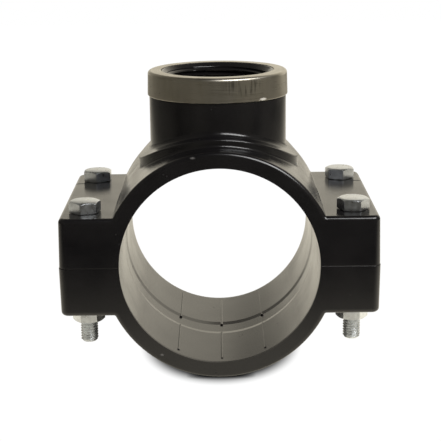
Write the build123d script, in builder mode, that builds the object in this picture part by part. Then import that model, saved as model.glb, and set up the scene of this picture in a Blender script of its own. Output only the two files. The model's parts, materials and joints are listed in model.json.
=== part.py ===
from build123d import *
import os
from math import cos, hypot, radians, sqrt, tan

# Tapping saddle: a two-part moulded clamp that bolts round a plastic pipe, with a
# threaded branch on top through which the pipe is drilled.
# The pipe runs along Y and the branch points up along Z. The origin is where their
# axes cross, and the halves of the clamp part in the plane Z = 0.
# Sizes are in millimetres and angles in degrees.

# Pipe seat and clamp halves
pipe_radius = 45.0
shell_wall = 7.5
clamp_length = 96.0
bolt_reach = 8.3            # from the shell to the bolt axis
ear_margin = 11.3           # from the bolt axis to the ear's outer face, at the parting plane
lower_ear_step = 0.2        # how far the lower ears stand out past the upper ones
upper_ear_height = 22.8
lower_ear_height = 22.4
draft_angle = 1.0           # of the outer faces of the ears
ear_corner_radius = 3.5     # upright corners of the ears
ear_root_radius = 1.0       # hollow between an ear and the round shell
mould_edge_radius = 2.0     # outside edges of both halves
parting_edge_radius = 0.25  # where the two halves meet, all round the clamp
mouth_depth = 1.3           # eased entry at each end of the seat
mouth_rise = 0.1
band_width = 10.0           # flat of the shallow relief round the middle of the seat
band_slope_width = 3.5      # of the slope that leads into it on each side
band_depth = 0.35

# Outlet and branch, with the G 1 1/2 thread left out and its wall at the major radius
outlet_radius = 19.0
thread_radius = 23.9
thread_depth = 24.8
thread_entry = 1.5
branch_wall = 8.1
branch_height = 26.1        # above the crown of the boss
branch_root_radius = 2.8
boss_margin = 5.8           # around the branch
boss_height = 3.7           # above the shell
boss_edge_radius = 0.9
boss_root_radius = 1.2

# Steel reinforcing ring, pressed over the neck of the branch
ring_overhang = 0.8         # outside the branch, at the open end of the ring
ring_wall = 1.2
ring_taper = 0.3            # from that open end to the top
ring_height = 11.3
ring_proud = 0.2            # of the rim of the branch
ring_edge_radius = 1.5
ring_hem_radius = 0.4
ring_clearance = 0.05
rim_land = 0.6              # flat rim of the branch between thread and ring
rim_gap = 0.3               # between that rim and the flange of the ring

# Rubber seal in its groove round the outlet
seal_inset = 2.5            # from the outlet to the groove
seal_width = 6.0
seal_thickness = 3.0
seal_clearance = 0.1

# M8 bolts and nuts
bolt_radius = 4.0
bolt_projection = 10.0      # beyond the nut
bolt_tip_chamfer = 0.9
bolt_end_distance = 15.0    # from the end of the clamp to the bolt axis
bolt_hole_clearance = 0.5
hex_across_flats = 13.0
hex_face_radius = 6.2       # flat end face inside the turned-down corners
hex_bevel_angle = 30.0
head_height = 5.3
nut_height = 6.2
nut_thread_clearance = 0.05

# Corner of the clamp that each bolt stands in, by its sides along X and Y
bolt_corners = {"front_left": (-1, -1), "front_right": (1, -1), "back_left": (-1, 1), "back_right": (1, 1)}

# How far each head and each nut came to be turned about its bolt's axis
head_angles = {"front_left": 19.0, "front_right": -8.0, "back_left": 29.0, "back_right": -21.0}
nut_angles = {"front_left": 4.0, "front_right": -6.0, "back_left": 12.0, "back_right": -15.0}

# Sizes that follow
half_length = clamp_length / 2
shell_radius = pipe_radius + shell_wall
bolt_x = shell_radius + bolt_reach
bolt_y = half_length - bolt_end_distance
bolt_length = upper_ear_height + lower_ear_height + nut_height + bolt_projection
upper_ear_reach = bolt_x + ear_margin
lower_ear_reach = upper_ear_reach + lower_ear_step
branch_radius = thread_radius + branch_wall
boss_radius = branch_radius + boss_margin
crown_radius = shell_radius + boss_height
branch_top = crown_radius + branch_height
ring_radius = branch_radius + ring_overhang
ring_top_radius = ring_radius - ring_taper
ring_inner_radius = ring_top_radius - ring_wall
ring_top = branch_top + ring_proud
ring_bottom = ring_top - ring_height
ring_shelf = ring_top - ring_wall
rim_radius = thread_radius + thread_entry + rim_land
flange_inner_radius = rim_radius + rim_gap
groove_inner_radius = outlet_radius + seal_inset
groove_outer_radius = groove_inner_radius + seal_width
groove_crown_radius = pipe_radius + seal_thickness
selection_gap = 0.01        # how near a line has to be to be the one looked for
upright_slope = cos(radians(2 * draft_angle))   # rise along a line beyond which it counts as upright
middle = 0.5                # place along an edge


def outside_edges(half, ear_height, ear_top_reach):
    """Edges of a half that the mould rounds: its end outlines and the outer top edges of its ears."""
    above = half.edges().filter_by(lambda e: (e @ middle).Z > selection_gap)
    edges = above.filter_by(lambda e: abs((e % middle).Z) < upright_slope)
    ends = edges.filter_by(lambda e: abs((e @ middle).Y) > half_length - selection_gap)
    ear_tops = (edges - ends).filter_by(lambda e: (e @ middle).Z > ear_height - selection_gap)
    return ends + ear_tops.filter_by(lambda e: abs((e @ middle).X) > ear_top_reach - ear_corner_radius)


def clamp_half(ear_reach, ear_height):
    """Half of the clamp above the parting plane, before boring: a round shell with two solid ears."""
    ear_top_reach = ear_reach - ear_height * tan(radians(draft_angle))
    root_reach = sqrt(shell_radius**2 - ear_height**2)
    with BuildPart() as half:
        with BuildSketch(Plane.XZ) as section:
            Circle(shell_radius)
            with BuildLine():
                Polyline(
                    (-ear_reach, 0),
                    (-ear_top_reach, ear_height),
                    (ear_top_reach, ear_height),
                    (ear_reach, 0),
                    close=True,
                )
            make_face()
            with Locations((0, -shell_radius)):
                Rectangle(2 * ear_reach, 2 * shell_radius, mode=Mode.SUBTRACT)
            roots = section.vertices().filter_by(lambda v: abs(abs(v.X) - root_reach) < selection_gap)
            fillet(roots, ear_root_radius)
        extrude(amount=half_length, both=True)
        across = half.faces().sort_by(Axis.X)
        for outer_face in (across[0], across[-1]):
            along = outer_face.edges().group_by(Axis.Y)
            fillet(along[0] + along[-1], ear_corner_radius)
        fillet(outside_edges(half, ear_height, ear_top_reach), mould_edge_radius)
        parting_face = half.faces().sort_by(Axis.Z)[0]
        fillet(parting_face.edges(), parting_edge_radius)
    return half.part


def crowned_disc(radius, top_radius, hole_radius=0):
    """Disc round the branch axis, from the parting plane up to a cylinder round the pipe axis."""
    with BuildPart() as disc:
        with BuildSketch(Plane.XY):
            Circle(radius)
            if hole_radius:
                Circle(hole_radius, mode=Mode.SUBTRACT)
        extrude(amount=top_radius)
        with BuildSketch(Plane.XZ):
            Circle(top_radius)
        extrude(amount=radius, both=True, mode=Mode.INTERSECT)
    return disc.part


def meeting(part, upright_radius, round_radius):
    """Edges where an upright cylinder round the branch meets a cylinder round the pipe axis."""

    def on_both(edge):
        point = edge @ middle
        from_branch = hypot(point.X, point.Y)
        from_pipe = hypot(point.X, point.Z)
        return max(abs(from_branch - upright_radius), abs(from_pipe - round_radius)) < selection_gap

    return part.edges().filter_by(on_both)


def hexagon(height, bevelled_ends):
    """Hexagon standing on Z = 0, with its corners turned down at the given ends."""
    turning_radius = hex_across_flats
    turning_drop = (turning_radius - hex_face_radius) * tan(radians(hex_bevel_angle))
    with BuildPart() as blank:
        with BuildSketch(Plane.XY):
            RegularPolygon(hex_across_flats / 2, 6, major_radius=False)
        extrude(amount=height)
        for end, inward in bevelled_ends:
            with BuildSketch(Plane.XZ):
                with BuildLine():
                    Polyline(
                        (hex_face_radius, end),
                        (turning_radius, end),
                        (turning_radius, end + inward * turning_drop),
                        close=True,
                    )
                make_face()
            revolve(axis=Axis.Z, mode=Mode.SUBTRACT)
    return blank.part


# Room for the pipe, with eased mouths and the relief band
with BuildPart() as seat:
    with BuildSketch(Plane.YZ):
        with BuildLine():
            Polyline(
                (-half_length, 0),
                (-half_length, pipe_radius + mouth_rise),
                (-half_length + mouth_depth, pipe_radius),
                (-band_width / 2 - band_slope_width, pipe_radius),
                (-band_width / 2, pipe_radius + band_depth),
                (band_width / 2, pipe_radius + band_depth),
                (band_width / 2 + band_slope_width, pipe_radius),
                (half_length - mouth_depth, pipe_radius),
                (half_length, pipe_radius + mouth_rise),
                (half_length, 0),
                close=True,
            )
        make_face()
    revolve(axis=Axis.Y)

# Upper half, boss and branch, in one moulding
with BuildPart() as upper_saddle:
    add(clamp_half(upper_ear_reach, upper_ear_height))
    add(crowned_disc(boss_radius, crown_radius))
    with BuildSketch(Plane.XZ):
        with BuildLine():
            Polyline(
                (0, pipe_radius),
                (branch_radius, pipe_radius),
                (branch_radius, ring_bottom),
                (ring_inner_radius - ring_clearance, ring_bottom),
                (ring_inner_radius - ring_clearance, ring_shelf - ring_clearance),
                (rim_radius, ring_shelf - ring_clearance),
                (rim_radius, branch_top),
                (0, branch_top),
                close=True,
            )
        make_face()
    revolve(axis=Axis.Z)
    fillet(meeting(upper_saddle, boss_radius, crown_radius), boss_edge_radius)
    fillet(meeting(upper_saddle, boss_radius, shell_radius), boss_root_radius)
    fillet(meeting(upper_saddle, branch_radius, crown_radius), branch_root_radius)
    add(seat.part, mode=Mode.SUBTRACT)
    with Locations((0, 0, branch_top)):
        CounterBoreHole(outlet_radius, thread_radius, thread_depth, depth=branch_top)
    thread_mouth = upper_saddle.faces().sort_by(Axis.Z)[-1].edges().sort_by(SortBy.RADIUS)[0]
    chamfer(thread_mouth, thread_entry)
    add(
        crowned_disc(groove_outer_radius, groove_crown_radius, groove_inner_radius),
        mode=Mode.SUBTRACT,
    )
    with GridLocations(2 * bolt_x, 2 * bolt_y, 2, 2):
        Hole(bolt_radius + bolt_hole_clearance)

# Lower half
with BuildPart() as lower_saddle:
    mirror(clamp_half(lower_ear_reach, lower_ear_height), about=Plane.XY)
    add(seat.part, mode=Mode.SUBTRACT)
    with GridLocations(2 * bolt_x, 2 * bolt_y, 2, 2):
        Hole(bolt_radius + bolt_hole_clearance)

# Reinforcing ring: an angle section, folded in over the rim of the branch
with BuildPart() as reinforcing_ring:
    with BuildSketch(Plane.XZ) as section:
        with BuildLine():
            Polyline(
                (flange_inner_radius, ring_top),
                (ring_top_radius, ring_top),
                (ring_radius, ring_bottom),
                (ring_inner_radius, ring_bottom),
                (ring_inner_radius, ring_shelf),
                (flange_inner_radius, ring_shelf),
                close=True,
            )
        make_face()
        top_corners = section.vertices().group_by(Axis.Y)[-1]
        fillet(top_corners.sort_by(Axis.X)[-1], ring_edge_radius)
        fillet(section.vertices().group_by(Axis.Y)[0], ring_hem_radius)
    revolve(axis=Axis.Z)

# Outlet seal, drawn as it lies when the pipe has pressed it into its groove
with BuildPart() as outlet_seal:
    add(
        crowned_disc(
            groove_outer_radius - seal_clearance,
            groove_crown_radius - seal_clearance,
            groove_inner_radius + seal_clearance,
        )
    )
    with BuildSketch(Plane.XZ):
        Circle(pipe_radius)
    extrude(amount=half_length, both=True, mode=Mode.SUBTRACT)

# One bolt and one nut, standing on Z = 0 at the origin
with BuildPart() as bolt_blank:
    add(hexagon(head_height, [(head_height, -1)]))
    with BuildSketch(Plane.XY):
        Circle(bolt_radius)
    extrude(amount=-bolt_length)
    chamfer(bolt_blank.edges().sort_by(Axis.Z)[0], bolt_tip_chamfer)

with BuildPart() as nut_blank:
    add(hexagon(nut_height, [(0, 1), (nut_height, -1)]))
    Hole(bolt_radius + nut_thread_clearance)

os.makedirs("parts", exist_ok=True)
pieces = {
    "upper_saddle": upper_saddle,
    "lower_saddle": lower_saddle,
    "reinforcing_ring": reinforcing_ring,
    "outlet_seal": outlet_seal,
}
for corner, (side_x, side_y) in bolt_corners.items():
    head_seat = (side_x * bolt_x, side_y * bolt_y, upper_ear_height)
    nut_end = (side_x * bolt_x, side_y * bolt_y, -lower_ear_height - nut_height)
    with BuildPart() as bolt:
        with Locations(Location(head_seat, (0, 0, head_angles[corner]))):
            add(bolt_blank.part)
    pieces[f"bolt_{corner}"] = bolt
    with BuildPart() as nut:
        with Locations(Location(nut_end, (0, 0, nut_angles[corner]))):
            add(nut_blank.part)
    pieces[f"nut_{corner}"] = nut

for name, piece in pieces.items():
    piece.part.label = name
    export_step(piece.part, f"parts/{name}.step")
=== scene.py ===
import json
import math

import bmesh
import bpy
from mathutils import Matrix, Vector


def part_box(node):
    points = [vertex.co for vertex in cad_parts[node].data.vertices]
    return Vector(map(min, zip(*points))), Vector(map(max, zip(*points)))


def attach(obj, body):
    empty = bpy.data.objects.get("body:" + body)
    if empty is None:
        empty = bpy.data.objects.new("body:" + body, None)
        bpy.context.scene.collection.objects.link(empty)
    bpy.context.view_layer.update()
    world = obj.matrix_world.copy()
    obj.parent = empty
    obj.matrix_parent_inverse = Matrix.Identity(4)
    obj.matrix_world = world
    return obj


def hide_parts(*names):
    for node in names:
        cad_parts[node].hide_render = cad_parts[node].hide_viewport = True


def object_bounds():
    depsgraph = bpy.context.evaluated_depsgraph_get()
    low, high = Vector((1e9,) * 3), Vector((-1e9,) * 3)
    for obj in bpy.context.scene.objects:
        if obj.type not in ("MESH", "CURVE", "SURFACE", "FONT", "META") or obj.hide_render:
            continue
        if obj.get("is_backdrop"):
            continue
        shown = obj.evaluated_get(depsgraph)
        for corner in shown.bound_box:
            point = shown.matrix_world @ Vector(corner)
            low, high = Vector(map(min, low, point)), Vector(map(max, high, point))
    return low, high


# A tapping saddle as it leaves the packing bench: moulded, ringed and bolted up.
# Lengths are in metres. The pipe runs along Y and the branch points up along Z.
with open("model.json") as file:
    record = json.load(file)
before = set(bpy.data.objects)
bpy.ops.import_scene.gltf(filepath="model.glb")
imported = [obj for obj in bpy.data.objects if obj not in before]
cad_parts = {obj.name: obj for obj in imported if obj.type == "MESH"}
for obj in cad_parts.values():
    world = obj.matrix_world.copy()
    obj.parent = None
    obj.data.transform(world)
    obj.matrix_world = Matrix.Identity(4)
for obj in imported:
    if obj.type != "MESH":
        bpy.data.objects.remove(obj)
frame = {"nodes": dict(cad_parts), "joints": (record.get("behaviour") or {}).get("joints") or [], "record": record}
cad_low, cad_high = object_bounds()

# --- View ---------------------------------------------------------------------------
# A long lens in front of one mouth of the clamp and a little above it, looking slightly down.
# It leans by less than a degree, as a hand-set tripod does. Lens and film are in millimetres.
lens_length = 103.1
film_width = 36
lens_place = Vector((0, -0.58913, 0.16071))
nearest_seen = 0.05
look_down = math.radians(14.405)
turn_right = math.radians(0.062)
lean = math.radians(-0.693)
camera_data = bpy.data.cameras.new("view")
camera_data.lens = lens_length
camera_data.sensor_width = film_width
camera_data.clip_start = nearest_seen
camera = bpy.data.objects.new("view", camera_data)
camera.matrix_world = (
    Matrix.Translation(lens_place)
    @ Matrix.Rotation(-turn_right, 4, "Z")
    @ Matrix.Rotation(math.pi / 2 - look_down, 4, "X")
    @ Matrix.Rotation(lean, 4, "Z")
)
bpy.context.collection.objects.link(camera)
bpy.context.scene.camera = camera
bpy.context.scene.view_settings.view_transform = "Standard"

# --- Table and room -----------------------------------------------------------------
# A sheet of white paper on a table, in a room that is dark but for a pale wall behind it. A
# broad lamp hangs in front, above and to the right. The lower half stands on the paper and
# takes it along when the clamp is opened, with a soft shade painted on the paper under it.
paper_gap = 0.0001
paper_side = 0.7
paper_front = -0.30
paper_back = 1.6
paper_tone = (0.86, 0.86, 0.85, 1)
plain_white = (1, 1, 1, 1)
warm_white = (1.0, 0.93, 0.77, 1)

# The painted shade under the clamp is an ellipse. It lightens from its core to its rim, which
# are shares of its half sizes, and is a little darker where something comes within reach of the paper.
shade_half_sizes = (0.0318, 0.0459)
shade_core = 0.966
shade_rim = 1.277
shade_darkest = 0.02
contact_reach = 0.0025

# In gloss the paper fades out towards the front and to both sides
paper_glow = 0.27
front_fade = (-0.235, -0.02)
side_fade = (0.12, 0.60)
side_left_over = 0.1


def node(tree, kind, inputs=None, **settings):
    """Adds a shader node. Its inputs go by name or number, and are values or sockets to link."""
    made = tree.nodes.new(kind)
    for name, value in settings.items():
        setattr(made, name, value)
    for name, value in (inputs or {}).items():
        if isinstance(value, bpy.types.NodeSocket):
            tree.links.new(value, made.inputs[name])
        else:
            made.inputs[name].default_value = value
    return made


def calculate(tree, operation, *values):
    """The result of a Math node."""
    return node(tree, "ShaderNodeMath", dict(enumerate(values)), operation=operation).outputs[0]


def calculate_vector(tree, operation, *vectors):
    """The result of a Vector Math node, as a vector."""
    return node(tree, "ShaderNodeVectorMath", dict(enumerate(vectors)), operation=operation).outputs[0]


def length_of(tree, vector):
    """How long a vector is."""
    return node(tree, "ShaderNodeVectorMath", {0: vector}, operation="LENGTH").outputs["Value"]


def blend(tree, value, start, end, low, high, course="SMOOTHSTEP"):
    """A value that goes from low to high while another goes from start to end, and stays there."""
    inputs = {"Value": value, "From Min": start, "From Max": end, "To Min": low, "To Max": high}
    return node(tree, "ShaderNodeMapRange", inputs, interpolation_type=course).outputs[0]


def mix_shaders(tree, share, first, second):
    """The first shader where the share is 0, and the second where it is 1."""
    return node(tree, "ShaderNodeMixShader", {0: share, 1: first, 2: second}).outputs[0]


def new_material(name):
    """An empty material: the material, its tree, and the socket that its shader goes to."""
    material = bpy.data.materials.new(name)
    material.use_nodes = True
    tree = material.node_tree
    tree.nodes.clear()
    output = node(tree, "ShaderNodeOutputMaterial")
    return material, tree, output.inputs["Surface"]


def paper_in_gloss(tree, position):
    """The paper as metal and plastic mirror it: warm, and fading out at its front and sides."""
    place = node(tree, "ShaderNodeSeparateXYZ", {0: position})
    aside = calculate(tree, "ABSOLUTE", place.outputs["X"])
    from_sides = blend(tree, aside, *side_fade, 1.0, side_left_over)
    from_front = blend(tree, place.outputs["Y"], *front_fade, 0.0, 1.0)
    fading = calculate(tree, "MULTIPLY", from_sides, from_front)
    tint_inputs = {0: warm_white[:3], "Scale": fading}
    tint = node(tree, "ShaderNodeVectorMath", tint_inputs, operation="SCALE").outputs[0]
    faded = node(tree, "ShaderNodeBsdfDiffuse", {"Color": tint})
    glow = node(tree, "ShaderNodeEmission", {"Color": tint, "Strength": paper_glow})
    return node(tree, "ShaderNodeAddShader", {0: faded.outputs[0], 1: glow.outputs[0]}).outputs[0]


def paper_seen_directly(tree, position):
    """The paper as it is seen: plain white, but for a painted shade under the clamp, deeper at contacts."""
    shares = tuple(1 / half_size for half_size in shade_half_sizes) + (0,)
    from_middle = length_of(tree, calculate_vector(tree, "MULTIPLY", position, shares))
    shade = blend(tree, from_middle, shade_core, shade_rim, shade_darkest, 1 + shade_darkest)
    nearby = node(tree, "ShaderNodeAmbientOcclusion", {"Distance": contact_reach}, samples=8)
    brightness = calculate(tree, "MULTIPLY", shade, nearby.outputs["AO"])
    return node(tree, "ShaderNodeEmission", {"Color": plain_white, "Strength": brightness}).outputs[0]


def white_paper():
    """White paper that doesn't hide what stands on it from a look from below."""
    material, tree, surface = new_material("paper_white")
    path = node(tree, "ShaderNodeLightPath")
    geometry = node(tree, "ShaderNodeNewGeometry")
    position = geometry.outputs["Position"]
    is_camera = path.outputs["Is Camera Ray"]
    is_glossy = path.outputs["Is Glossy Ray"]
    is_mirror = calculate(tree, "MAXIMUM", is_glossy, path.outputs["Is Transmission Ray"])
    matt = node(tree, "ShaderNodeBsdfDiffuse", {"Color": paper_tone}).outputs[0]
    lit = mix_shaders(tree, is_mirror, matt, paper_in_gloss(tree, position))
    shown = mix_shaders(tree, is_camera, lit, paper_seen_directly(tree, position))
    clear = node(tree, "ShaderNodeBsdfTransparent").outputs[0]
    from_below = calculate(tree, "MULTIPLY", is_camera, geometry.outputs["Backfacing"])
    tree.links.new(mix_shaders(tree, from_below, shown, clear), surface)
    return material


paper_height = cad_low.z - paper_gap
paper_mesh = bpy.data.meshes.new("paper")
paper_mesh.from_pydata(
    [
        (-paper_side, paper_front, paper_height),
        (paper_side, paper_front, paper_height),
        (paper_side, paper_back, paper_height),
        (-paper_side, paper_back, paper_height),
    ],
    [],
    [(0, 1, 2, 3)],
)
paper_mesh.materials.append(white_paper())
paper = bpy.data.objects.new("paper", paper_mesh)
bpy.context.collection.objects.link(paper)
paper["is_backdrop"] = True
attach(paper, "strap")

# What gloss sees of the room. Each pair is where a part of it starts and ends, by how far a look
# goes right or back: 1 is straight to the right or straight back, and -1 the other way.
room_light = 0.11
wall_light = 1.0
wall_spread = (0.3, 0.97)
wall_end_spread = (-0.55, -0.33)
wall_end_light = 0.3
left_spread = (-0.60, -0.15)
left_light = 0.10
right_spread = (0.30, 0.75)
right_light = 0.08
right_ends_behind = (-0.3, 0.3)
daylight_spread = (-0.4, 0.9)


def pale_walled_room():
    """A world with a pale wall behind, a dim left side, and a dim right side in front."""
    room = bpy.data.worlds.new("room")
    room.use_nodes = True
    tree = room.node_tree
    tree.nodes.clear()
    look = node(tree, "ShaderNodeTexCoord").outputs["Generated"]
    parts = node(tree, "ShaderNodeSeparateXYZ", {0: look})
    right = parts.outputs["X"]
    back = parts.outputs["Y"]
    up = parts.outputs["Z"]
    wall = blend(tree, back, *wall_spread, room_light, wall_light)
    slant = calculate(tree, "SUBTRACT", right, up)
    wall_end = blend(tree, slant, *wall_end_spread, wall_end_light, 1.0)
    left_side = blend(tree, right, *left_spread, left_light, 0.0)
    in_front = blend(tree, back, *right_ends_behind, right_light, 0.0)
    right_side = blend(tree, right, *right_spread, 0.0, 1.0)
    both_sides = calculate(tree, "MULTIPLY_ADD", right_side, in_front, left_side)
    seen_in_gloss = calculate(tree, "MULTIPLY_ADD", wall, wall_end, both_sides)
    daylight = blend(tree, back, *daylight_spread, room_light, 1.0)
    path = node(tree, "ShaderNodeLightPath")
    is_glossy = path.outputs["Is Glossy Ray"]
    is_camera = path.outputs["Is Camera Ray"]
    is_clear = calculate(tree, "MAXIMUM", is_camera, path.outputs["Is Transmission Ray"])
    mirrored = node(tree, "ShaderNodeBackground", {"Color": warm_white, "Strength": seen_in_gloss})
    soft = node(tree, "ShaderNodeBackground", {"Color": plain_white, "Strength": daylight})
    white = node(tree, "ShaderNodeBackground", {"Color": plain_white, "Strength": 1.0})
    lit = mix_shaders(tree, is_glossy, soft.outputs[0], mirrored.outputs[0])
    shown = mix_shaders(tree, is_clear, lit, white.outputs[0])
    node(tree, "ShaderNodeOutputWorld", {"Surface": shown})
    return room


bpy.context.scene.world = pale_walled_room()

lamp_place = Vector((0.45, -0.56, 0.70))
lamp_width = 0.75
lamp_depth = 0.36
lamp_power = 9.0
lamp_data = bpy.data.lights.new("broad_lamp", "AREA")
lamp_data.shape = "RECTANGLE"
lamp_data.size = lamp_width
lamp_data.size_y = lamp_depth
lamp_data.energy = lamp_power
lamp = bpy.data.objects.new("broad_lamp", lamp_data)
lamp.location = lamp_place
lamp.rotation_mode = "QUATERNION"
lamp.rotation_quaternion = lamp_place.to_track_quat("Z", "Y")
bpy.context.collection.objects.link(lamp)

# --- Upper and lower saddle ---------------------------------------------------------
# The two halves of the clamp are injection moulded in black polypropylene, the upper one in
# one shot with its boss and branch. The skin is smooth and faintly wavy from cooling. A mould
# insert left a fine line across the back ears, and each front face has a small knock.
polypropylene_dark = (0.0058, 0.0053, 0.0058, 1)
polypropylene_pale = (0.0088, 0.0080, 0.0084, 1)
cloud_scale = 60.0
skin_roughness = (0.17, 0.25)

# Rubbed flecks: how close they stand, and how far each reaches within its own cell
fleck_scale = 130.0
fleck_reach = (0.035, 0.06)
fleck_roughness = 0.62

# Relief of the skin: broad sink marks, and the fine grain of the mould
sink_scale = 34.0
sink_depth = 0.0002
grain_scale = 1700.0
grain_depth = 0.00003

# The middle of each knock, and its half sizes along X, Y and Z
knock_tone = (0.14, 0.133, 0.126, 1)
knocks = (
    ((-0.0267, -0.048, -0.0410), (0.0012, 0.0010, 0.0007)),
    ((-0.0113, -0.0476, 0.0499), (0.0016, 0.0010, 0.0007)),
)

# The insert's line crosses the tops of the back ears, out at their ends
insert_line_place = 0.0247
insert_line_start = 0.0655
insert_line_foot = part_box("upper_saddle")[0].z + 0.0222
insert_line_edge = (0.0003, 0.0009)


def noise(tree, place, scale, detail):
    """Cloudy noise from 0 to 1. A larger scale makes smaller clouds."""
    inputs = {"Vector": place, "Scale": scale, "Detail": detail}
    return node(tree, "ShaderNodeTexNoise", inputs).outputs[0]


def two_tones(tree, value, first, second, start=0.0, end=1.0):
    """A colour that goes from the first to the second while a value goes from start to end."""
    ramp = node(tree, "ShaderNodeValToRGB", {0: value})
    stops = ramp.color_ramp.elements
    stops[0].position = start
    stops[0].color = first
    stops[1].position = end
    stops[1].color = second
    return ramp.outputs[0]


def mix_colours(tree, share, first, second):
    """The first colour where the share is 0, and the second where it is 1."""
    inputs = {0: share, 6: first, 7: second}
    return node(tree, "ShaderNodeMix", inputs, data_type="RGBA").outputs[2]


def away_from(tree, place, middle, half_size):
    """How far a point is from a mark's middle, as a share of the way to the mark's edge."""
    shares = tuple(1 / length for length in half_size)
    offset = calculate_vector(tree, "SUBTRACT", place, middle)
    return length_of(tree, calculate_vector(tree, "MULTIPLY", offset, shares))


def relief(tree, height, strength, depth, under=None):
    """Fine relief from a height, up to a depth in metres. It may lie on another relief."""
    inputs = {"Height": height, "Strength": strength, "Distance": depth}
    if under is not None:
        inputs["Normal"] = under
    return node(tree, "ShaderNodeBump", inputs).outputs[0]


def insert_line(tree, place):
    """1 on the line of the mould insert across the back ears, and 0 elsewhere."""
    spot = node(tree, "ShaderNodeSeparateXYZ", {0: place})
    outward = calculate(tree, "ABSOLUTE", spot.outputs["X"])
    along = calculate(tree, "SUBTRACT", spot.outputs["Y"], insert_line_place)
    from_line = calculate(tree, "ABSOLUTE", along)
    on_ear_end = calculate(tree, "GREATER_THAN", outward, insert_line_start)
    on_ear_top = calculate(tree, "GREATER_THAN", spot.outputs["Z"], insert_line_foot)
    on_ear = calculate(tree, "MULTIPLY", on_ear_end, on_ear_top)
    on_line = blend(tree, from_line, *insert_line_edge, 1.0, 0.0)
    return calculate(tree, "MULTIPLY", on_ear, on_line)


def moulded_polypropylene():
    """Black polypropylene with a clouded, finely grained skin, rubbed flecks and two knocks."""
    material, tree, surface = new_material("black_polypropylene")
    place = node(tree, "ShaderNodeTexCoord").outputs["Object"]
    cloud = noise(tree, place, cloud_scale, detail=5.0)
    skin_tone = two_tones(tree, cloud, polypropylene_dark, polypropylene_pale, start=0.32, end=0.72)
    marks = [
        blend(tree, away_from(tree, place, middle, half_size), start=0.1, end=1.0, low=1.0, high=0.0)
        for middle, half_size in knocks
    ]
    knocked = calculate(tree, "MAXIMUM", *marks)
    colour = mix_colours(tree, knocked, skin_tone, knock_tone)

    gloss = blend(tree, cloud, 0.3, 0.7, *skin_roughness, course="LINEAR")
    spots = node(tree, "ShaderNodeTexVoronoi", {"Vector": place, "Scale": fleck_scale})
    fleck = blend(tree, spots.outputs["Distance"], *fleck_reach, 1.0, 0.0, course="LINEAR")
    scuffed = node(tree, "ShaderNodeMix", {0: fleck, 2: gloss, 3: fleck_roughness}, data_type="FLOAT")
    roughness = calculate(tree, "MAXIMUM", scuffed.outputs[0], insert_line(tree, place))

    sinks = noise(tree, place, sink_scale, detail=1.0)
    waves = relief(tree, sinks, strength=0.35, depth=sink_depth)
    grain = noise(tree, place, grain_scale, detail=3.0)
    skin = relief(tree, grain, strength=0.22, depth=grain_depth, under=waves)
    looks = {"Base Color": colour, "Roughness": roughness, "IOR": 1.5, "Normal": skin}
    body = node(tree, "ShaderNodeBsdfPrincipled", looks)
    tree.links.new(body.outputs[0], surface)
    return material


def finish_node(name, material):
    """Gives a node of the frame its material."""
    frame["nodes"][name].data.materials.clear()
    frame["nodes"][name].data.materials.append(material)


polypropylene = moulded_polypropylene()
finish_node("upper_saddle", polypropylene)
finish_node("lower_saddle", polypropylene)

# --- Branch thread ------------------------------------------------------------------
# The G 1 1/2 pipe thread is moulded into the branch by a screwed core. It fades out above the
# shoulder, and the countersink of the mouth cuts its first turn.
thread_mount = next(m for m in frame["record"]["mounts"] if m["name"] == "branch_thread")
major_radius = thread_mount["dims"]["r_mm"] / 1000
thread_length = thread_mount["dims"]["length_mm"] / 1000
entry_depth = 0.0015
pipe_pitch = 0.002309
pipe_thread_depth = 0.001479
thread_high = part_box("upper_saddle")[1].z - entry_depth
thread_low = thread_high - thread_length

# Share of a pitch over which the crest of a thread is flat, and here its root too
flat_share = 0.16

# The thread is drawn as a thin liner, whose roots stand just clear of the branch's plain wall
root_cover = 0.00007
liner_wall = 0.0004
branch_rows_per_turn = 14
branch_sides = 144
branch_shares = [side / branch_sides for side in range(branch_sides + 1)]


def ridge(phase, crest_share, root_share):
    """Height of a thread from 0 at its root to 1 at its crest, by the place within one pitch."""
    from_crest = abs(phase - round(phase))
    flank = 0.5 - (crest_share + root_share) / 2
    height = 1 - (from_crest - crest_share / 2) / flank
    return min(1.0, max(0.0, height))


def screw_rows(radius_at, pitch, low, high, rows_per_turn, shares):
    """Rows of points that follow a right-hand screw line up a round wall, between two heights."""
    rows = []
    last_row = rows_per_turn * math.ceil((high - low) / pitch)
    for row in range(-rows_per_turn, last_row + 1):
        points = []
        for share in shares:
            height = low + pitch * (row / rows_per_turn + share)
            height = min(high, max(low, height))
            points.append((radius_at(height, height / pitch - share), height))
        rows.append(points)
    return rows


def object_from(name, shell):
    """Closes a bmesh into an object with outward faces and smooth, but for its sharp edges."""
    sharp_angle = math.radians(25)
    bmesh.ops.recalc_face_normals(shell, faces=shell.faces)
    for face in shell.faces:
        face.smooth = True
    for edge in shell.edges:
        edge.smooth = edge.calc_face_angle(math.pi) < sharp_angle
    mesh = bpy.data.meshes.new(name)
    shell.to_mesh(mesh)
    shell.free()
    made = bpy.data.objects.new(name, mesh)
    bpy.context.collection.objects.link(made)
    return made


def skin_of_rows(name, rows, shares, centre):
    """An object whose skin runs through rows of (radius, height) points round an upright axis."""
    same_place = 1e-7
    shell = bmesh.new()
    grid = []
    for row in rows:
        ring_points = []
        for (radius, height), share in zip(row, shares):
            angle = math.tau * share
            x = centre.x + radius * math.cos(angle)
            y = centre.y + radius * math.sin(angle)
            ring_points.append(shell.verts.new((x, y, height)))
        grid.append(ring_points)
    for below, above in zip(grid, grid[1:]):
        for corner in range(len(shares) - 1):
            shell.faces.new((below[corner], below[corner + 1], above[corner + 1], above[corner]))
    bmesh.ops.remove_doubles(shell, verts=shell.verts, dist=same_place)
    bmesh.ops.dissolve_degenerate(shell, edges=shell.edges, dist=same_place)
    return object_from(name, shell)


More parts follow.
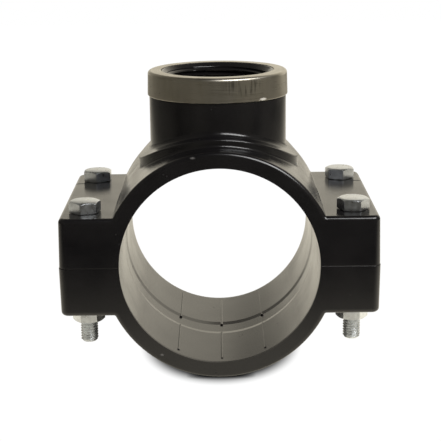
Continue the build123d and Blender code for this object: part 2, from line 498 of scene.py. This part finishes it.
def branch_radius_at(height, phase):
    """Inside radius of the branch: the thread, faded out at the bottom and cut by the countersink."""
    fade = min(1.0, max(0.0, (height - thread_low - pipe_pitch / 2) / pipe_pitch))
    countersink = major_radius + height - thread_high
    threaded = major_radius - pipe_thread_depth * fade * ridge(phase, flat_share, flat_share)
    return min(major_radius - root_cover, max(countersink, threaded))


rows = screw_rows(
    branch_radius_at, pipe_pitch, thread_low, thread_high, branch_rows_per_turn, branch_shares
)
outside = major_radius + liner_wall
rows.append([(outside, thread_high)] * len(branch_shares))
rows.append([(outside, thread_low)] * len(branch_shares))
rows.append(rows[0])
branch_thread = skin_of_rows("branch_thread", rows, branch_shares, Vector((0, 0, 0)))
branch_thread.data.materials.append(polypropylene)
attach(branch_thread, "saddle")

# --- Seat ribs ----------------------------------------------------------------------
# Three lines of low ribs are moulded into the seat of the lower half and bite into the pipe, so
# that the clamp doesn't turn. Each line is broken at the relief round the middle of the seat,
# and each stretch of it begins with a small square toe.
seat_mount = next(m for m in frame["record"]["mounts"] if m["name"] == "pipe_seat")
seat_radius = seat_mount["dims"]["r_mm"] / 1000

# Each line's angle from straight down, width, height, and where its shoulder is across its width
rib_lines = (
    (math.radians(-25.5), 0.0008, 0.00032, 0.32),
    (math.radians(0.8), 0.0011, 0.00035, 0.22),
    (math.radians(27.0), 0.0006, 0.00020, 0.32),
)
rib_stretches = ((-0.0425, -0.0072), (0.0045, 0.0430))
rib_root = 0.0003
shoulder_rise = 0.75
toe_width = 0.0014
toe_height = 0.0004
toe_length = 0.0005
toe_back_length = 0.0001


def rib_section(ribs, line_angle, along, width, height, shoulder):
    """The points across one rib, from its root on one side over its crown to its other root."""
    half_crown = ((0.5, -rib_root), (0.5, 0), (shoulder, shoulder_rise * height), (0, height))
    crown = [(-side, rise) for side, rise in half_crown] + list(half_crown[-2::-1])
    section = []
    for side, rise in crown:
        angle = line_angle + side * width / seat_radius
        radius = seat_radius - rise
        place = (radius * math.sin(angle), along, -radius * math.cos(angle))
        section.append(ribs.verts.new(place))
    return section


ribs = bmesh.new()
for line_angle, rib_width, rib_height, shoulder in rib_lines:
    for start, end in rib_stretches:
        toe_end = start + toe_length
        stations = (
            (start, toe_width, toe_height),
            (toe_end, toe_width, toe_height),
            (toe_end + toe_back_length, rib_width, rib_height),
            (end, rib_width, rib_height),
        )
        sections = [
            rib_section(ribs, line_angle, along, width, height, shoulder)
            for along, width, height in stations
        ]
        for near, far in zip(sections, sections[1:]):
            for corner in range(len(near)):
                following = (corner + 1) % len(near)
                ribs.faces.new((near[corner], near[following], far[following], far[corner]))
        ribs.faces.new(sections[0])
        ribs.faces.new(sections[-1])
seat_ribs = object_from("seat_ribs", ribs)
seat_ribs.data.materials.append(polypropylene)
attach(seat_ribs, "strap")

# --- Outlet seal --------------------------------------------------------------------
# A soft rubber ring, pressed into the groove round the outlet inside the upper half. It lies
# level with the seat, as the pipe presses it when the bolts are drawn up.
rubber_dark = (0.017, 0.017, 0.017, 1)
rubber_pale = (0.034, 0.033, 0.032, 1)
dust_scale = 700.0
dust_depth = 0.00005


def moulded_rubber():
    """Matt black rubber with a dusty grain."""
    material, tree, surface = new_material("seal_rubber")
    place = node(tree, "ShaderNodeTexCoord").outputs["Object"]
    grain = noise(tree, place, dust_scale, detail=4.0)
    colour = two_tones(tree, grain, rubber_dark, rubber_pale)
    skin = relief(tree, grain, strength=0.3, depth=dust_depth)
    looks = {"Base Color": colour, "Roughness": 0.72, "Normal": skin}
    body = node(tree, "ShaderNodeBsdfPrincipled", looks)
    tree.links.new(body.outputs[0], surface)
    return material


finish_node("outlet_seal", moulded_rubber())

# --- Reinforcing ring ---------------------------------------------------------------
# A ring drawn from stainless sheet and pressed over the neck of the branch, so that a male
# thread can't burst it. It keeps the circular marks of its drawing die, is scuffed under the
# rim in front, and has a small nick in its hem with a painted highlight where it glints.
steel_dark = (0.40, 0.373, 0.31, 1)
steel_pale = (0.54, 0.51, 0.445, 1)
scratch_tone = (0.16, 0.15, 0.13, 1)
# Painted highlight: the glint of the nick in the hem, given as a near-white colour
glinting_nick_tone = (0.95, 0.93, 0.88, 1)
steel_roughness = (0.26, 0.38)
glinting_nick_dulling = 0.35

# How close together the marks lie: across and along them, or along X, Y and Z
die_marks_across = 4200.0
die_marks_along = (50.0, 50.0, 0.0)
die_mark_depth = 0.00002
stain_scales = (110.0, 110.0, 25.0)
scratch_scales = (1100.0, 1100.0, 90.0)

# Middle and half sizes of the scuffed patch and of the nick's painted glint, measured down from the rim
rim_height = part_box("reinforcing_ring")[1].z
scuff_middle = (0.0115, -0.030, rim_height - 0.0040)
scuff_half_size = (0.0115, 0.0115, 0.0055)
glinting_nick_middle = (0.0211, -0.0264, rim_height - 0.0104)
glinting_nick_half_size = (0.0028, 0.0028, 0.0009)


def die_marks(tree, place):
    """Noise drawn out into fine lines round the upright axis, on the wall and on the rim alike."""
    flat = calculate_vector(tree, "MULTIPLY", place, (1, 1, 0))
    height = node(tree, "ShaderNodeSeparateXYZ", {0: place}).outputs["Z"]
    profile = calculate(tree, "ADD", length_of(tree, flat), height)
    across = calculate(tree, "MULTIPLY", profile, die_marks_across)
    lifted = node(tree, "ShaderNodeCombineXYZ", {2: across}).outputs[0]
    along = calculate_vector(tree, "MULTIPLY", flat, die_marks_along)
    return noise(tree, calculate_vector(tree, "ADD", along, lifted), scale=1.0, detail=4.0)


def drawn_stainless():
    """Dull stainless steel with fine marks round the ring, upright scratches and a painted glint on a nick."""
    material, tree, surface = new_material("drawn_stainless")
    place = node(tree, "ShaderNodeTexCoord").outputs["Object"]
    marks = die_marks(tree, place)
    stain_place = calculate_vector(tree, "MULTIPLY", place, stain_scales)
    stains = noise(tree, stain_place, scale=1.0, detail=2.0)
    steel = two_tones(tree, stains, steel_dark, steel_pale, start=0.35, end=0.65)

    from_scuff = away_from(tree, place, scuff_middle, scuff_half_size)
    scuffed = blend(tree, from_scuff, start=0.4, end=1.0, low=0.8, high=0.0)
    scratch_place = calculate_vector(tree, "MULTIPLY", place, scratch_scales)
    lines = noise(tree, scratch_place, scale=1.0, detail=2.0)
    scratches = blend(tree, lines, start=0.46, end=0.58, low=0.0, high=1.0)
    scratched = calculate(tree, "MULTIPLY", scratches, scuffed)
    worn = mix_colours(tree, scratched, steel, scratch_tone)

    # The nick's painted highlight: a near-white spot standing in for its glint, with a rougher skin there
    from_glinting_nick = away_from(tree, place, glinting_nick_middle, glinting_nick_half_size)
    nick_glint_share = blend(tree, from_glinting_nick, start=0.5, end=1.0, low=1.0, high=0.0)
    colour = mix_colours(tree, nick_glint_share, worn, glinting_nick_tone)

    gloss = blend(tree, marks, 0.3, 0.7, *steel_roughness, course="LINEAR")
    roughness = calculate(tree, "MULTIPLY_ADD", nick_glint_share, glinting_nick_dulling, gloss)
    skin = relief(tree, marks, strength=0.15, depth=die_mark_depth)
    looks = {"Base Color": colour, "Metallic": 1.0, "Roughness": roughness, "Normal": skin}
    body = node(tree, "ShaderNodeBsdfPrincipled", looks)
    tree.links.new(body.outputs[0], surface)
    return material


finish_node("reinforcing_ring", drawn_stainless())

# --- Bolts --------------------------------------------------------------------------
# Four M8 hexagon bolts, cold forged with a washer face under the head, rolled with a 1.25 mm
# thread over their last 22 mm, and zinc plated. Each stands in one corner of the clamp.
across_flats = 0.013
corner_cut_radius = 0.00741
end_face_radius = 0.0061
end_bevel = math.radians(30)
edge_break = 0.00002
washer_face_radius = 0.0059
washer_face_height = 0.00035
shank_radius = 0.004
bolt_pitch = 0.00125
bolt_thread_depth = 0.00074
bolt_thread_length = 0.022
bolt_root_share = 0.2
bolt_rows_per_turn = 12
tip_radius = 0.0030

# Degrees round one side of the hexagon, closer together towards its corners
corner_steps = (0, 1.0, 2.0, 5.0, 13.0, 21.0, 30.0, 39.0, 47.0, 55.0, 58.0, 59.0)
hexagon_shares = [(60 * side + step) / 360 for side in range(6) for step in corner_steps] + [1.0]

zinc_grey = (0.54, 0.56, 0.585, 1)
zinc_white = (0.83, 0.865, 0.90, 1)
bloom_scale = 380.0
crystal_scale = 620.0
crystal_depth = 0.00006
zinc_roughness = (0.25, 0.38)


def zinc_plating():
    """Bright zinc with a fine crystalline bloom and slight blue-white colour."""
    material, tree, surface = new_material("zinc_plating")
    place = node(tree, "ShaderNodeTexCoord").outputs["Object"]
    bloom = noise(tree, place, bloom_scale, detail=5.0)
    colour = two_tones(tree, bloom, zinc_grey, zinc_white, start=0.3, end=0.7)
    roughness = blend(tree, bloom, 0.3, 0.7, *zinc_roughness, course="LINEAR")
    crystals = noise(tree, place, crystal_scale, detail=3.0)
    skin = relief(tree, crystals, strength=0.3, depth=crystal_depth)
    looks = {"Base Color": colour, "Metallic": 1.0, "Roughness": roughness, "Normal": skin}
    body = node(tree, "ShaderNodeBsdfPrincipled", looks)
    tree.links.new(body.outputs[0], surface)
    return material


def hexagon_radius(share):
    """Radius of the hexagon at a share of a full turn, with its corners slightly cut."""
    from_flat = (share % (1 / 6)) * math.tau - math.pi / 6
    return min(across_flats / 2 / math.cos(from_flat), corner_cut_radius)


def level(radius, height):
    """A round row of points at one height."""
    return [(radius, height)] * len(hexagon_shares)


def turned_hexagon_end(end, inward):
    """Rows from a hexagon's sides to its flat end. inward is 1 at its bottom and -1 at its top."""
    edge_drop = edge_break * math.tan(end_bevel)
    sides = []
    bevel = []
    for share in hexagon_shares:
        radius = hexagon_radius(share)
        depth = (radius - end_face_radius) * math.tan(end_bevel)
        sides.append((radius, end + inward * (depth + edge_break)))
        bevel.append((radius - edge_break, end + inward * (depth - edge_drop)))
    return [
        sides,
        bevel,
        level(end_face_radius + edge_break, end + inward * edge_drop),
        level(end_face_radius - edge_break, end),
    ]


def forged_bolt(name, head_seat, tip, top):
    """A bolt as one skin, from its tip up over its thread, shank and washer face to its head."""
    thread_end = tip + bolt_thread_length
    hexagon_foot = head_seat.z + washer_face_height

    def radius_at(height, phase):
        """Radius of the threaded end, faded out towards the plain shank and coned at the tip."""
        fade = min(1.0, max(0.0, (thread_end - height) / (2 * bolt_pitch)))
        groove = 1 - ridge(phase, flat_share, bolt_root_share)
        threaded = shank_radius - bolt_thread_depth * fade * groove
        return min(tip_radius + height - tip, threaded)

    rows = [level(0, tip)]
    rows += screw_rows(radius_at, bolt_pitch, tip, thread_end, bolt_rows_per_turn, hexagon_shares)
    rows += [
        level(shank_radius, head_seat.z),
        level(washer_face_radius, head_seat.z),
        level(washer_face_radius, hexagon_foot),
        [(hexagon_radius(share) - edge_break, hexagon_foot) for share in hexagon_shares],
        [(hexagon_radius(share), hexagon_foot + edge_break) for share in hexagon_shares],
    ]
    rows += turned_hexagon_end(top, -1)
    rows.append(level(0, top))
    return skin_of_rows(name, rows, hexagon_shares, head_seat)


def turn_to_match(piece, cad_node, axis):
    """Turns a piece about an upright axis until its corners stand where the node's corners do."""
    corner = max((v.co - axis for v in cad_node.data.vertices), key=lambda arm: arm.xy.length)
    angle = math.atan2(corner.y, corner.x)
    piece.data.transform(
        Matrix.Translation(axis) @ Matrix.Rotation(angle, 4, "Z") @ Matrix.Translation(-axis)
    )


zinc = zinc_plating()
bolt_joints = [joint for joint in frame["joints"] if joint["type"] == "hinge"]
for joint in bolt_joints:
    corner_name = joint["name"].removesuffix("_bolt_turn")
    cad_name = f"bolt_{corner_name}"
    head_seat = Vector(joint["pos_m"])
    low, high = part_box(cad_name)
    bolt = forged_bolt(f"forged_bolt_{corner_name}", head_seat, low.z, high.z)
    turn_to_match(bolt, frame["nodes"][cad_name], head_seat)
    bolt.data.materials.append(zinc)
    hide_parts(cad_name)
    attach(bolt, f"{corner_name}_bolt")

# --- Nuts ---------------------------------------------------------------------------
# Plain M8 hexagon nuts of the same zinc-plated steel, turned down at both ends and countersunk
# at both ends of the thread. They sit under the lower half and follow it.
bore_radius = 0.00403
countersink_radius = 0.0045


def turned_nut(name, axis, bottom, top):
    """A nut as one skin, from its bore down, round its outside and back into its bore."""
    countersink_depth = countersink_radius - bore_radius
    bore_mouth = level(bore_radius, bottom + countersink_depth)
    rows = [bore_mouth, level(countersink_radius, bottom)]
    rows += reversed(turned_hexagon_end(bottom, 1))
    rows += turned_hexagon_end(top, -1)
    rows += [
        level(countersink_radius, top),
        level(bore_radius, top - countersink_depth),
        bore_mouth,
    ]
    return skin_of_rows(name, rows, hexagon_shares, axis)


for joint in bolt_joints:
    corner_name = joint["name"].removesuffix("_bolt_turn")
    cad_name = f"nut_{corner_name}"
    axis = Vector(joint["pos_m"])
    low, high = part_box(cad_name)
    nut = turned_nut(f"turned_nut_{corner_name}", axis, low.z, high.z)
    turn_to_match(nut, frame["nodes"][cad_name], axis)
    nut.data.materials.append(zinc)
    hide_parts(cad_name)
    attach(nut, "strap")

low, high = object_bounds()
